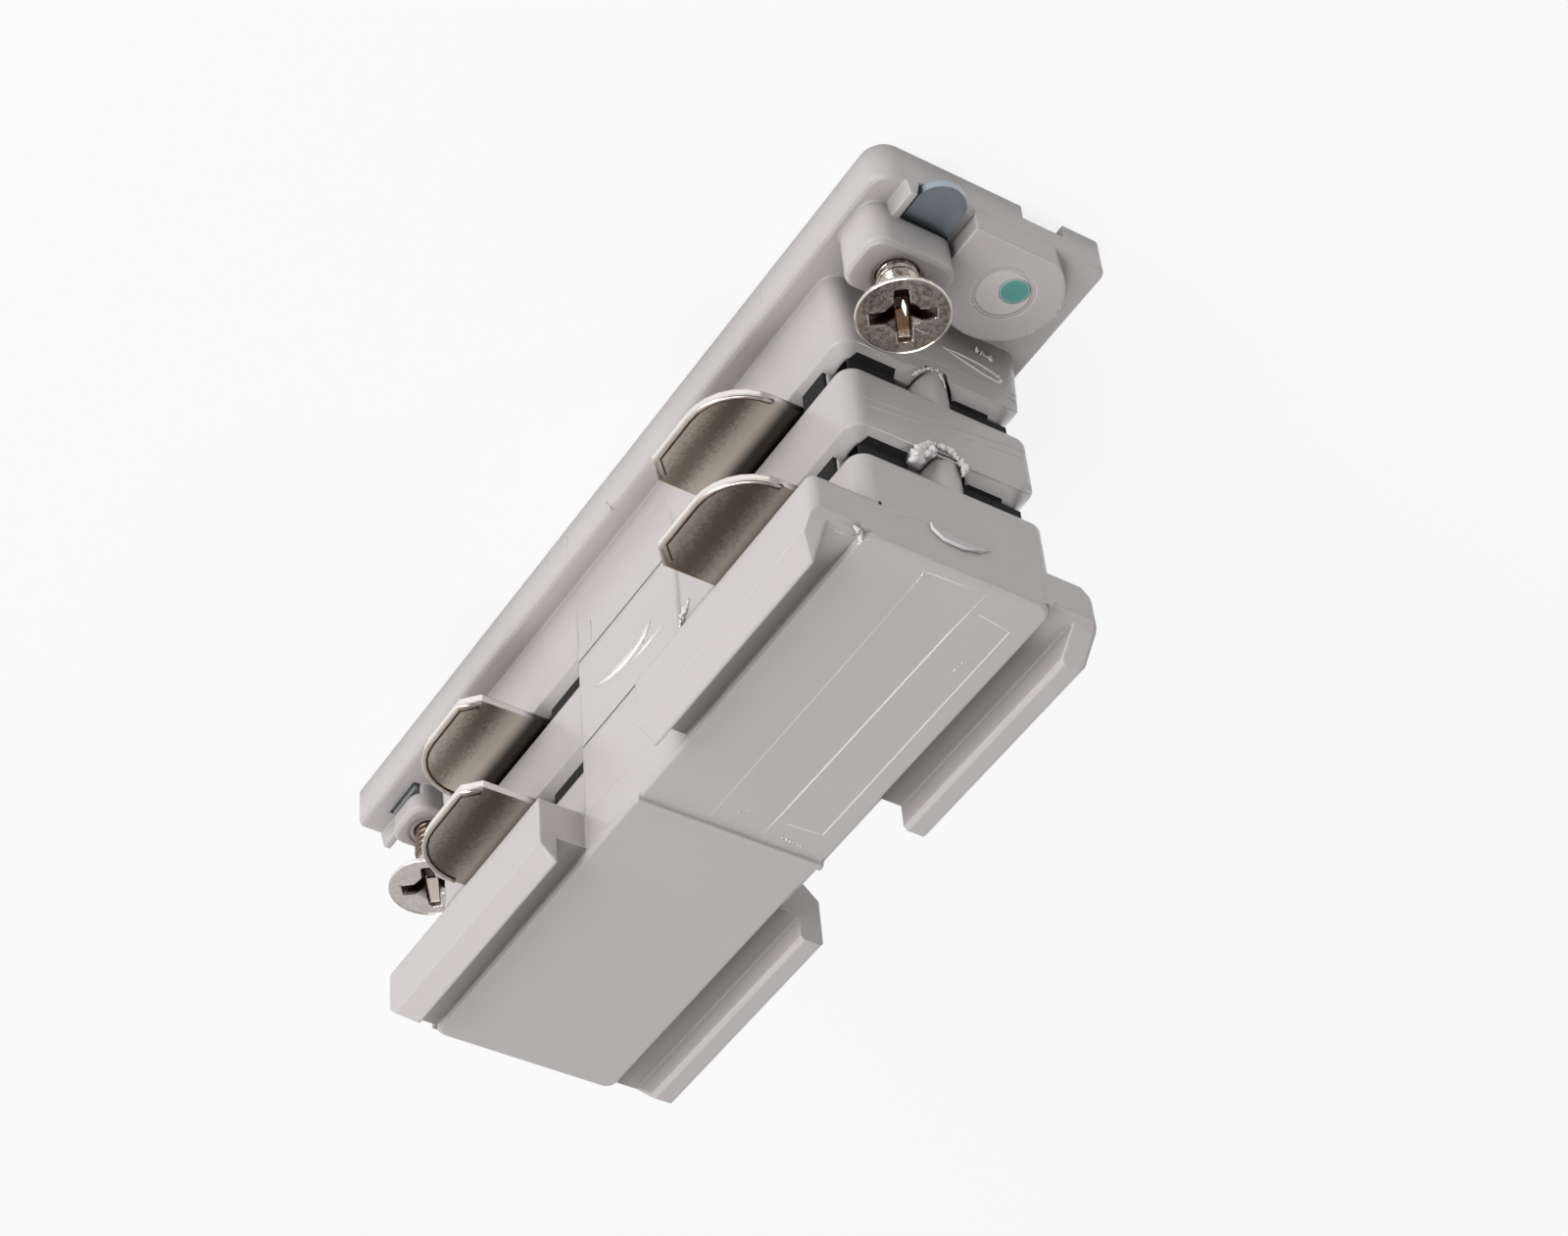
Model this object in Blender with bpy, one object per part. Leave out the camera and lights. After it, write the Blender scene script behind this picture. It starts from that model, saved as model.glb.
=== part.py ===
"""Straight track connector: joins two lengths of three-circuit lighting track end to end.

The back plate lies on the floor plane, +Z points out of the track towards the lettering face,
X runs along the track and the long side in view is -Y. The origin is the middle of the underside.
Lengths are in metres.
"""
import math

import bpy
import bmesh
from mathutils import Vector

MM = 0.001

# Running and assembly clearance between any two separate pieces.
CLEARANCE = 0.25 * MM

# Back plate, the part that lies on the floor of the track.
PLATE_LENGTH = 83.4 * MM
PLATE_WIDTH = 21.24 * MM
PLATE_THICKNESS = 3.66 * MM
PLATE_CORNER = 0.7 * MM
PLATE_LEAD_CORNER = 1.9 * MM
PLATE_EDGE = 0.45 * MM

# The three insulating decks that stand on the plate, which runs on past both their ends.
END_LEDGE = 10.2 * MM
DECK_SHARP_SIDE = 8.1 * MM
DECK_BROAD_SIDE = 9.1 * MM
DECK_CORNER = 1.5 * MM
DECK_EDGE = 0.35 * MM
DECK_LEAD_IN = 1.05 * MM
BROAD_LEAD_IN = 1.9 * MM
BROAD_LEAD_IN_HEIGHT = 2.5 * MM
BACK_DECK_HEIGHT = 8.34 * MM
BACK_DECK_FLARE = 0.55 * MM
MIDDLE_DECK_HEIGHT = 7.45 * MM
FRONT_DECK_HEIGHT = 5.25 * MM
CONTACT_SLOT = 1.95 * MM

# The neck in the middle, where the decks meet flush.
NECK_SETBACK = 24.0 * MM
NECK_WIDTH = 16.8 * MM
NECK_CORNER = 0.3 * MM

# Front cover: flange, lettering block, grooves and the rails that hook under the track lips.
SHARP_GROOVE = 2.65 * MM
FLANGE_THICKNESS = 3.5 * MM
BLOCK_LIFT = 0.55 * MM
BLOCK_CORNER = 1.1 * MM
RAIL_HEIGHT = 2.4 * MM
SHARP_RAIL_WALL = 1.54 * MM
SHARP_RAIL_BEVEL = 1.4 * MM
BROAD_RAIL_WALL = 2.09 * MM
BROAD_RAIL_EDGE = 0.3 * MM
FLANGE_BEVEL = 1.3 * MM
COVER_CORNER = 0.8 * MM
COVER_OVERHANG = 0.6 * MM
RAIL_END_RAMP = 2.8 * MM
RAIL_END_DROP = 3.0 * MM
RAIL_GAP = 14.6 * MM
BROAD_GAP_SHIFT = 0.85 * MM
DIVIDER_RIB_WIDTH = 1.0 * MM
DIVIDER_RIB_HEIGHT = 0.42 * MM

# Weld pegs under the middle deck and the front cover, one at each end.
PEG_RADIUS = 1.88 * MM
PEG_OFFSET = 0.58 * MM
PEG_REACH = 3.6 * MM
PEG_REACH_FRONT = 3.2 * MM
PEG_COLLAR_WIDTH = 4.2 * MM
PEG_COLLAR_DEPTH = 2.0 * MM
PEG_COLLAR_SETBACK = 1.3 * MM

# Chambers in the top of the lower decks, open to the contact slots.
CHAMBER_RIM = 0.05 * MM
CHAMBER_WIDTH = 1.55 * MM
CHAMBER_DEPTH = 3.0 * MM

# Spacer feet in the contact slots, near the corners of the decks.
SPACER_LENGTH = 1.8 * MM
SPACER_WIDTH = 0.9 * MM
SPACER_END_SETBACK = 2.9 * MM
SPACER_SETBACK = 0.55 * MM

# Contact strips: one flat strip each with a tongue at either end.
CONTACT_THICKNESS = 0.7 * MM
SPINE_RIB_WIDTH = 4.4 * MM
SPINE_RIB_SETBACK = 4.5 * MM
STRIP_WIDTH = 4.2 * MM
TONGUE_TIP = 15.25 * MM
TONGUE_LENGTH = 11.1 * MM
NEAR_TONGUE_SETBACK = 6.1 * MM
FAR_TONGUE_SETBACK = 7.0 * MM
BED_WIDTH = 3.9 * MM
TONGUE_OUTER_RADIUS = 4.8 * MM
TONGUE_INNER_CHAMFER = 1.3 * MM

# Clamp screws, their bosses and the nut plates below them.
SCREW_SETBACK = 5.2 * MM
SCREW_Y = -6.05 * MM
HEAD_RADIUS = 3.65 * MM
HEAD_RIM = 0.25 * MM
HEAD_HEIGHT = 2.1 * MM
SHANK_RADIUS = 1.7 * MM
HEAD_LEVEL = 12.85 * MM
RECESS_WIDTH = 1.0 * MM
RECESS_REACH = 2.05 * MM
RECESS_DEPTH = 1.7 * MM
RECESS_TURN_DEGREES = 37
SCREW_TIP_LIFT = 0.6 * MM
BOSS_LENGTH = 5.2 * MM
NEAR_BOSS_OUTER_SIDE = 9.8 * MM
FAR_BOSS_OUTER_SIDE = 8.9 * MM
BOSS_INNER_SIDE = 1.9 * MM
NEAR_BOSS_HEIGHT = 4.64 * MM
FAR_BOSS_HEIGHT = 2.9 * MM
BOSS_CORNER = 1.5 * MM
BOSS_EDGE = 0.3 * MM
NUT_THICKNESS = 0.7 * MM
NUT_TRAVEL = 0.3 * MM
NUT_POCKET = 0.41 * MM
NUT_LENGTH = 4.0 * MM
NUT_WIDTH = 6.0 * MM
TAB_WIDTH = 4.1 * MM
TAB_CENTRE = 4.75 * MM
NEAR_TAB_OVERHANG = 1.4 * MM
FAR_TAB_OVERHANG = -0.8 * MM
RIM_HEIGHT = 1.25 * MM
RIM_WALL = 1.15 * MM
RIM_DRAFT = 0.3 * MM
RIM_TOP = 0.6 * MM
RIM_LENGTH = 3.6 * MM

# Round bosses with the snap plugs, and the earth marker on the near one.
ROUND_BOSS_RADIUS = 4.8 * MM
ROUND_BOSS_SETBACK = 4.34 * MM
ROUND_BOSS_Y = 3.5 * MM
ROUND_BOSS_HEIGHT = 1.9 * MM
ROUND_BOSS_WALL = 1.9 * MM
PLUG_RADIUS = 2.25 * MM
PLUG_DEPTH = 2.6 * MM
MARKER_RADIUS = 1.2 * MM
MARKER_DEPTH = 0.5 * MM
MARKER_SHIFT_X = 0.6 * MM
MARKER_SHIFT_Y = 0.65 * MM

# Earth strip in the channel of the back plate.
CHANNEL_START = 2.9 * MM
CHANNEL_WIDTH = 3.95 * MM
CHANNEL_DEPTH = 1.45 * MM
EARTH_THICKNESS = 0.9 * MM
EARTH_LIFT = 0.3 * MM
EARTH_LUG_WIDTH = 6.0 * MM
EARTH_END_SETBACK = 1.1 * MM

ARC_STEPS = 7
CIRCLE_STEPS = 40
EPS = 0.02 * MM

# Levels, stacked up from the floor of the track.
SLOT = CONTACT_SLOT
Z_PLATE = PLATE_THICKNESS
Z_BACK_TOP = Z_PLATE + BACK_DECK_HEIGHT
Z_MIDDLE = Z_BACK_TOP + SLOT
Z_MIDDLE_TOP = Z_MIDDLE + MIDDLE_DECK_HEIGHT
Z_FRONT = Z_MIDDLE_TOP + SLOT
Z_FLANGE = Z_FRONT + FRONT_DECK_HEIGHT
Z_GROOVE = Z_FLANGE + FLANGE_THICKNESS
Z_BLOCK = Z_GROOVE + BLOCK_LIFT
Z_RAIL = Z_GROOVE + RAIL_HEIGHT
Z_POCKET = Z_PLATE - NUT_POCKET
Z_NUT = Z_POCKET + CLEARANCE
Z_NUT_ROOF = Z_NUT + NUT_THICKNESS + NUT_TRAVEL + CLEARANCE
Z_HEAD = HEAD_LEVEL
Z_ROUND_BOSS = Z_PLATE + ROUND_BOSS_HEIGHT

# Places along the track, from the ends of the plate inwards.
PLATE_END = PLATE_LENGTH / 2
SCREW_X = PLATE_END - SCREW_SETBACK
ROUND_BOSS_X = PLATE_END - ROUND_BOSS_SETBACK
DECK_END = PLATE_END - END_LEDGE
SPACER_END = DECK_END - SPACER_END_SETBACK
SPINE_RIB_END = DECK_END - SPINE_RIB_SETBACK
NEAR_TONGUE_START = DECK_END - NEAR_TONGUE_SETBACK
FAR_TONGUE_END = DECK_END - FAR_TONGUE_SETBACK
NECK_END = DECK_END - NECK_SETBACK
HALF_NECK = NECK_WIDTH / 2
HALF_COVER = HALF_NECK + SHARP_GROOVE + SHARP_RAIL_WALL


def clear_scene():
    for obj in list(bpy.data.objects):
        bpy.data.objects.remove(obj, do_unlink=True)


def material(name, colour, roughness, metallic=0.0):
    mat = bpy.data.materials.new(name)
    mat.use_nodes = True
    shader = mat.node_tree.nodes["Principled BSDF"]
    shader.inputs["Base Color"].default_value = (*colour, 1.0)
    shader.inputs["Roughness"].default_value = roughness
    shader.inputs["Metallic"].default_value = metallic
    return mat


def add_object(name, bm, mat=None):
    mesh = bpy.data.meshes.new(name)
    bmesh.ops.recalc_face_normals(bm, faces=bm.faces)
    bm.to_mesh(mesh)
    bm.free()
    obj = bpy.data.objects.new(name, mesh)
    bpy.context.scene.collection.objects.link(obj)
    if mat:
        mesh.materials.append(mat)
    return obj


def arc(cx, cy, radius, start, end, count):
    """Points of an arc from angle start to angle end, in degrees, both ends included."""
    points = []
    for i in range(count + 1):
        a = math.radians(start + (end - start) * i / count)
        points.append((cx + radius * math.cos(a), cy + radius * math.sin(a)))
    return points


def rounded_box_outline(x0, x1, y0, y1, radius):
    """Anticlockwise outline of a rectangle with four round corners."""
    r = radius
    return (arc(x1 - r, y0 + r, r, -90, 0, ARC_STEPS) + arc(x1 - r, y1 - r, r, 0, 90, ARC_STEPS)
            + arc(x0 + r, y1 - r, r, 90, 180, ARC_STEPS) + arc(x0 + r, y0 + r, r, 180, 270, ARC_STEPS))


def circle_outline(cx, cy, radius, count=CIRCLE_STEPS):
    return arc(cx, cy, radius, 0, 360.0 * (count - 1) / count, count - 1)


def loft(rings):
    """Closed solid through outlines of equal length, given as (points, height) from the bottom up."""
    bm = bmesh.new()
    loops = [[bm.verts.new((x, y, z)) for x, y in points] for points, z in rings]
    count = len(loops[0])
    for lower, upper in zip(loops, loops[1:]):
        for i in range(count):
            j = (i + 1) % count
            bm.faces.new((lower[i], lower[j], upper[j], upper[i]))
    bm.faces.new(list(reversed(loops[0])))
    bm.faces.new(loops[-1])
    return bm


def prism(outline, z0, z1):
    return loft([(outline, z0), (outline, z1)])


def block(x0, x1, y0, y1, z0, z1):
    return prism([(x0, y0), (x1, y0), (x1, y1), (x0, y1)], z0, z1)


def profile_along_x(profile, x0, x1):
    """Solid with a constant section given as (y, z) points, swept from x0 to x1."""
    bm = bmesh.new()
    first = [bm.verts.new((x0, y, z)) for y, z in profile]
    last = [bm.verts.new((x1, y, z)) for y, z in profile]
    count = len(profile)
    for i in range(count):
        j = (i + 1) % count
        bm.faces.new((first[i], first[j], last[j], last[i]))
    bm.faces.new(list(reversed(first)))
    bm.faces.new(last)
    return bm


def profile_along_y(profile, y0, y1):
    """Solid with a constant section given as (x, z) points, swept from y0 to y1."""
    bm = profile_along_x([(x, z) for x, z in profile], y0, y1)
    for v in bm.verts:
        v.co = Vector((v.co.y, v.co.x, v.co.z))
    return bm


def revolve(profile, cx, cy, count=CIRCLE_STEPS):
    """Solid of revolution about the vertical through (cx, cy), from (radius, z) points on the way up."""
    bm = bmesh.new()
    rings = []
    for radius, z in profile:
        if radius == 0:
            rings.append([bm.verts.new((cx, cy, z))])
        else:
            rings.append([bm.verts.new((x, y, z)) for x, y in circle_outline(cx, cy, radius, count)])
    for lower, upper in zip(rings, rings[1:]):
        for i in range(count):
            j = (i + 1) % count
            if len(lower) == 1:
                bm.faces.new((lower[0], upper[j], upper[i]))
            elif len(upper) == 1:
                bm.faces.new((lower[i], lower[j], upper[0]))
            else:
                bm.faces.new((lower[i], lower[j], upper[j], upper[i]))
    if len(rings[0]) > 1:
        bm.faces.new(list(reversed(rings[0])))
    if len(rings[-1]) > 1:
        bm.faces.new(rings[-1])
    return bm


def combine(base, tools, operation):
    """Applies each tool solid to the base object with an exact Boolean."""
    for i, bm in enumerate(tools):
        tool = add_object(f"{base.name}_{operation.lower()}_{i}", bm)
        mod = base.modifiers.new("combine", "BOOLEAN")
        mod.operation = operation
        mod.solver = "EXACT"
        mod.object = tool
        deps = bpy.context.evaluated_depsgraph_get()
        mesh = bpy.data.meshes.new_from_object(base.evaluated_get(deps))
        base.modifiers.remove(mod)
        old = base.data
        base.data = mesh
        mesh.name = base.name
        bpy.data.meshes.remove(old)
        bpy.data.objects.remove(tool, do_unlink=True)


def finish(obj, angle=35):
    """Cleans the mesh, and shades curved faces smooth with the real edges kept sharp."""
    bm = bmesh.new()
    bm.from_mesh(obj.data)
    bmesh.ops.remove_doubles(bm, verts=bm.verts, dist=0.001 * MM)
    bmesh.ops.dissolve_degenerate(bm, edges=bm.edges, dist=0.001 * MM)
    bmesh.ops.dissolve_limit(bm, angle_limit=math.radians(0.5), verts=bm.verts, edges=bm.edges)
    bmesh.ops.triangulate(bm, faces=[f for f in bm.faces if len(f.verts) > 4])
    bm.to_mesh(obj.data)
    bm.free()
    obj.data.shade_smooth()
    obj.data.set_sharp_from_angle(angle=math.radians(angle))
    return obj


def set_origin(obj, point):
    """Moves the object's origin to a point and leaves its mesh where it is."""
    for v in obj.data.vertices:
        v.co -= point
    obj.location = point


def deck(z0, z1, lead_in, edge, flare=0.0):
    """Moulded deck: small radius round the lower edge, a 45 degree lead-in round the upper one.

    The deck is keyed: it reaches further out on the broad side than on the sharp side, and its
    lead-in is longer there. A flare spreads its foot where it grows out of the plate.
    """
    def ring(inset, spread=0.0, broad=None):
        broad = inset if broad is None else broad
        return rounded_box_outline(inset - DECK_END, DECK_END - inset, inset - DECK_SHARP_SIDE - spread,
                                   DECK_BROAD_SIDE - broad + spread, max(DECK_CORNER - inset, DECK_CORNER / 4))
    if edge:
        rings = [(ring(edge), z0), (ring(edge * 0.3), z0 + edge * 0.3), (ring(0), z0 + edge)]
    else:
        rings = [(ring(0, flare), z0)]
    if lead_in:
        slope = BROAD_LEAD_IN / BROAD_LEAD_IN_HEIGHT
        rings += [(ring(0), z1 - BROAD_LEAD_IN_HEIGHT),
                  (ring(0, 0, (BROAD_LEAD_IN_HEIGHT - lead_in) * slope), z1 - lead_in),
                  (ring(lead_in, 0, BROAD_LEAD_IN), z1)]
    else:
        rings.append((ring(0), z1))
    return loft(rings)


def neck(z0, z1):
    side = HALF_NECK - EPS
    outline = rounded_box_outline(-NECK_END, NECK_END, -side, side, NECK_CORNER)
    return prism(outline, z0, z1)


def peg_centre(side):
    """The peg stands flush with the end of the decks."""
    return side * (DECK_END - PEG_RADIUS), PEG_OFFSET


def peg_hole(side, z_bottom, z_top):
    """Clearance hole for a peg, open to the end of the deck that it enters."""
    cx, cy = peg_centre(side)
    return prism(circle_outline(cx, cy, PEG_RADIUS + CLEARANCE), z_bottom, z_top)


def slot_supports(z_seat, z_root, z_peg):
    """What an upper deck stands on in the contact slot below it: a spine rib between the two
    strips, a peg with a collar beside it at each end, and a spacer foot near each corner."""
    half = SPINE_RIB_WIDTH / 2
    rib = SPINE_RIB_END
    solids = [prism(rounded_box_outline(-rib, rib, -half, half, half / 2), z_seat, z_root)]
    for side in (-1, 1):
        cx, cy = peg_centre(side)
        solids.append(prism(circle_outline(cx, cy, PEG_RADIUS), z_peg, z_root))
        x_out = DECK_END - PEG_COLLAR_SETBACK
        x0, x1 = sorted((side * x_out, side * (x_out - PEG_COLLAR_DEPTH)))
        solids.append(prism(rounded_box_outline(x0, x1, cy - PEG_COLLAR_WIDTH, cy, PEG_COLLAR_DEPTH / 4),
                            z_seat, z_root))
        for edge, reach in ((-1, DECK_SHARP_SIDE), (1, DECK_BROAD_SIDE)):
            x0, x1 = sorted((side * SPACER_END, side * (SPACER_END - SPACER_LENGTH)))
            y_out = reach - (DECK_LEAD_IN if edge < 0 else BROAD_LEAD_IN) + SPACER_SETBACK
            y0, y1 = sorted((edge * y_out, edge * (y_out - SPACER_WIDTH)))
            solids.append(block(x0, x1, y0, y1, z_seat, z_root))
    return solids


def slot_chambers(z_top):
    """Cutters for the chambers in the top of a lower deck: one each side of both pegs, and a
    trench along both long sides that the tongues cross."""
    z0, z1 = z_top - CHAMBER_DEPTH, z_top + MM
    sharp = CHAMBER_RIM + DECK_LEAD_IN - DECK_SHARP_SIDE
    broad = DECK_BROAD_SIDE - BROAD_LEAD_IN - CHAMBER_RIM
    x_out = DECK_END - DECK_LEAD_IN - CHAMBER_RIM
    bed = SPINE_RIB_WIDTH / 2 + BED_WIDTH + 2 * CLEARANCE
    radius = CHAMBER_RIM * 6
    cuts = []
    for side in (-1, 1):
        cy = peg_centre(side)[1]
        x0, x1 = sorted((side * x_out, side * (x_out - CHAMBER_WIDTH)))
        cuts.append(prism(rounded_box_outline(x0, x1, sharp, cy - PEG_COLLAR_WIDTH - CLEARANCE, radius), z0, z1))
        cuts.append(prism(rounded_box_outline(x0, x1, cy + PEG_RADIUS + 2 * CLEARANCE, broad, radius), z0, z1))
        x0, x1 = sorted((side * (SPACER_END - SPACER_LENGTH - CLEARANCE), side * (NECK_END + 2 * CLEARANCE)))
        cuts.append(block(x0, x1, sharp, -bed, z0, z1))
        cuts.append(block(x0, x1, bed, broad, z0, z1))
    return cuts


def contact_beds(z_top, z_root):
    """Raised beds on a lower deck that carry the two contact strips."""
    inner = SPINE_RIB_WIDTH / 2 + CLEARANCE
    rib = SPINE_RIB_END - CLEARANCE
    solids = []
    for side in (-1, 1):
        y0, y1 = sorted((side * inner, side * (inner + BED_WIDTH)))
        solids.append(block(-rib, rib, y0, y1, z_root, z_top))
    return solids


def strip_channels(z0, z1):
    """Open channels through the neck for the two contact strips of one level."""
    inner = SPINE_RIB_WIDTH / 2 - EPS
    outer = inner + STRIP_WIDTH + 2 * CLEARANCE
    reach = NECK_END + MM
    cuts = []
    for side in (-1, 1):
        y0, y1 = sorted((side * inner, side * outer))
        cuts.append(block(-reach, reach, y0, y1, z0, z1))
    return cuts


def round_boss_outline(side):
    """Disc that runs out square to the wall beside the nut tab, cut off flush with the plate's end."""
    cx, cy, r = ROUND_BOSS_X, ROUND_BOSS_Y, ROUND_BOSS_RADIUS
    end = PLATE_END - EPS
    cut = math.degrees(math.acos(min((end - cx) / r, 1.0)))
    points = arc(cx, cy, r, cut, 230, 4 * ARC_STEPS)
    points += [(points[-1][0], -ROUND_BOSS_WALL), (end, -ROUND_BOSS_WALL)]
    points = [(side * x, y) for x, y in points]
    return points if side > 0 else list(reversed(points))


def nut_outline(side, grow):
    """Nut plate: square body under the boss and a tongue with a round end past the plate."""
    inner = SCREW_X - NUT_LENGTH / 2 - grow
    shoulder = SCREW_X + NUT_LENGTH / 2 + grow
    half = TAB_WIDTH / 2 + grow
    right = -TAB_CENTRE + half
    left = right - NUT_WIDTH - 2 * grow
    tip = PLATE_END + (NEAR_TAB_OVERHANG if side < 0 else FAR_TAB_OVERHANG) - TAB_WIDTH / 2
    points = [(inner, right), (inner, left), (shoulder, left), (shoulder, -TAB_CENTRE - half)]
    points += arc(tip, -TAB_CENTRE, half, -90, 90, 3 * ARC_STEPS)
    points = [(side * x, y) for x, y in points]
    return points if side > 0 else list(reversed(points))


def tongue_strip(direction):
    """Contact strip in plan: a straight spine in the deck and two tongues out past its side."""
    inner = SPINE_RIB_WIDTH / 2 + CLEARANCE
    outer = inner + STRIP_WIDTH
    tip, r, c = TONGUE_TIP, TONGUE_OUTER_RADIUS, TONGUE_INNER_CHAMFER
    near, far = -NEAR_TONGUE_START, FAR_TONGUE_END
    if direction > 0:
        near, far = -far, -near
    near_in, far_in = near + TONGUE_LENGTH, far - TONGUE_LENGTH
    points = [(near, inner)]
    points += arc(near + r, tip - r, r, 180, 90, ARC_STEPS)
    points += [(near_in - c, tip), (near_in, tip - c), (near_in, outer)]
    points += [(far_in, outer), (far_in, tip - c), (far_in + c, tip)]
    points += arc(far - r, tip - r, r, 90, 0, ARC_STEPS)
    points += [(far, inner)]
    if direction < 0:
        return [(x, -y) for x, y in points]
    return list(reversed(points))


def plate_outline(inset):
    """Plan of the plate: its leading corner is rounder than the other three."""
    x, y = PLATE_END - inset, PLATE_WIDTH / 2 - inset
    r, lead = PLATE_CORNER - inset, PLATE_LEAD_CORNER - inset
    return (arc(x - r, r - y, r, -90, 0, ARC_STEPS) + arc(x - r, y - r, r, 0, 90, ARC_STEPS)
            + arc(r - x, y - r, r, 90, 180, ARC_STEPS) + arc(lead - x, lead - y, lead, 180, 270, ARC_STEPS))


def build_back_housing(mat):
    base = add_object("back_housing", loft([
        (plate_outline(0), 0), (plate_outline(0), Z_PLATE - PLATE_EDGE),
        (plate_outline(PLATE_EDGE * 0.3), Z_PLATE - PLATE_EDGE * 0.3), (plate_outline(PLATE_EDGE), Z_PLATE)]), mat)
    root = Z_PLATE / 2
    adds = [deck(root, Z_BACK_TOP, DECK_LEAD_IN, 0, BACK_DECK_FLARE), neck(root, Z_BACK_TOP)]
    adds += contact_beds(Z_MIDDLE - 2 * CLEARANCE - CONTACT_THICKNESS, root + Z_PLATE)
    cuts = slot_chambers(Z_BACK_TOP)
    for side, boss_height, outer_side in ((-1, NEAR_BOSS_HEIGHT, NEAR_BOSS_OUTER_SIDE),
                                          (1, FAR_BOSS_HEIGHT, FAR_BOSS_OUTER_SIDE)):
        sx, sy = side * SCREW_X, SCREW_Y
        z_boss = Z_PLATE + boss_height

        def boss(inset):
            half = BOSS_LENGTH / 2 - inset
            return rounded_box_outline(sx - half, sx + half, inset - outer_side, -BOSS_INNER_SIDE - inset,
                                       BOSS_CORNER - inset)
        adds.append(loft([(boss(0), root), (boss(0), z_boss - BOSS_EDGE), (boss(BOSS_EDGE), z_boss)]))
        x0, x1 = sorted((side * (PLATE_END - RIM_LENGTH), side * (PLATE_END - EPS)))
        inner = -(TAB_CENTRE + TAB_WIDTH / 2 + CLEARANCE)
        adds.append(profile_along_x([(inner, root), (inner, Z_PLATE),
                                     (inner - RIM_WALL + RIM_TOP + RIM_DRAFT, Z_PLATE + RIM_HEIGHT),
                                     (inner - RIM_WALL + RIM_DRAFT, Z_PLATE + RIM_HEIGHT),
                                     (inner - RIM_WALL, Z_PLATE), (inner - RIM_WALL, root)], x0, x1))
        adds.append(prism(round_boss_outline(side), root, Z_ROUND_BOSS))
        cuts.append(prism(nut_outline(side, CLEARANCE), Z_POCKET, Z_NUT_ROOF))
        cuts.append(prism(circle_outline(sx, sy, SHANK_RADIUS + CLEARANCE), -MM, z_boss + MM))
        cuts.append(prism(circle_outline(side * ROUND_BOSS_X, ROUND_BOSS_Y, PLUG_RADIUS + CLEARANCE),
                          Z_ROUND_BOSS - PLUG_DEPTH - CLEARANCE, Z_ROUND_BOSS + MM))
        cuts.append(peg_hole(side, Z_MIDDLE - PEG_REACH - CLEARANCE, Z_MIDDLE))
        lug = EARTH_LUG_WIDTH / 2 + CLEARANCE
        cuts.append(block(sx - lug, sx + lug, SCREW_Y - lug, CHANNEL_START + MM, -MM, CHANNEL_DEPTH))
    cuts.append(block(-PLATE_END - MM, PLATE_END + MM, CHANNEL_START, CHANNEL_START + CHANNEL_WIDTH,
                      -MM, CHANNEL_DEPTH))
    combine(base, adds, "UNION")
    combine(base, cuts, "DIFFERENCE")
    return finish(base)


def build_middle_insulator(mat):
    base = add_object("middle_insulator", deck(Z_MIDDLE, Z_MIDDLE_TOP, DECK_LEAD_IN, DECK_EDGE), mat)
    seat = Z_BACK_TOP + CLEARANCE
    root = Z_MIDDLE + MIDDLE_DECK_HEIGHT / 2
    adds = [neck(seat, Z_MIDDLE_TOP)]
    adds += slot_supports(seat, root, Z_MIDDLE - PEG_REACH)
    adds += contact_beds(Z_FRONT - 2 * CLEARANCE - CONTACT_THICKNESS, root)
    cuts = strip_channels(seat - MM, Z_MIDDLE) + slot_chambers(Z_MIDDLE_TOP)
    cuts += [peg_hole(side, Z_FRONT - PEG_REACH_FRONT - CLEARANCE, Z_FRONT) for side in (-1, 1)]
    combine(base, adds[:1], "UNION")
    combine(base, cuts, "DIFFERENCE")
    combine(base, adds[1:], "UNION")
    return finish(base)


def cover_sections():
    """Sections of the front cover across the track, one for each long side: flange, groove and rail."""
    sharp_in = HALF_COVER - SHARP_RAIL_WALL
    broad_in = HALF_COVER - BROAD_RAIL_WALL
    middle = HALF_NECK / 2
    tip = SHARP_RAIL_WALL - SHARP_RAIL_BEVEL
    sharp = [(-middle, Z_FLANGE), (-HALF_COVER, Z_FLANGE), (-HALF_COVER, Z_RAIL - SHARP_RAIL_BEVEL),
             (-sharp_in - tip, Z_RAIL), (-sharp_in, Z_RAIL), (-sharp_in, Z_GROOVE), (-middle, Z_GROOVE)]
    broad = [(middle, Z_GROOVE), (broad_in, Z_GROOVE), (broad_in, Z_RAIL - BROAD_RAIL_EDGE),
             (broad_in + BROAD_RAIL_EDGE, Z_RAIL), (HALF_COVER - BROAD_RAIL_EDGE, Z_RAIL),
             (HALF_COVER, Z_RAIL - BROAD_RAIL_EDGE), (HALF_COVER, Z_FLANGE + FLANGE_BEVEL),
             (HALF_COVER - FLANGE_BEVEL, Z_FLANGE), (middle, Z_FLANGE)]
    return sharp, broad


def cover_end(side):
    """The cover overhangs the decks at the far end."""
    return DECK_END + (COVER_OVERHANG if side > 0 else 0)


def corner_cut(side, edge):
    """Cutter that rounds one corner of the cover in plan."""
    r, out = COVER_CORNER, COVER_CORNER / 2
    cx, cy = cover_end(side) - r, HALF_COVER - r
    points = arc(cx, cy, r, 0, 90, ARC_STEPS)
    points += [(cx, cy + r + out), (cx + r + out, cy + r + out), (cx + r + out, cy)]
    points = [(side * x, edge * y) for x, y in points]
    if side * edge < 0:
        points.reverse()
    return prism(points, Z_FLANGE - MM, Z_RAIL + MM)


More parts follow.
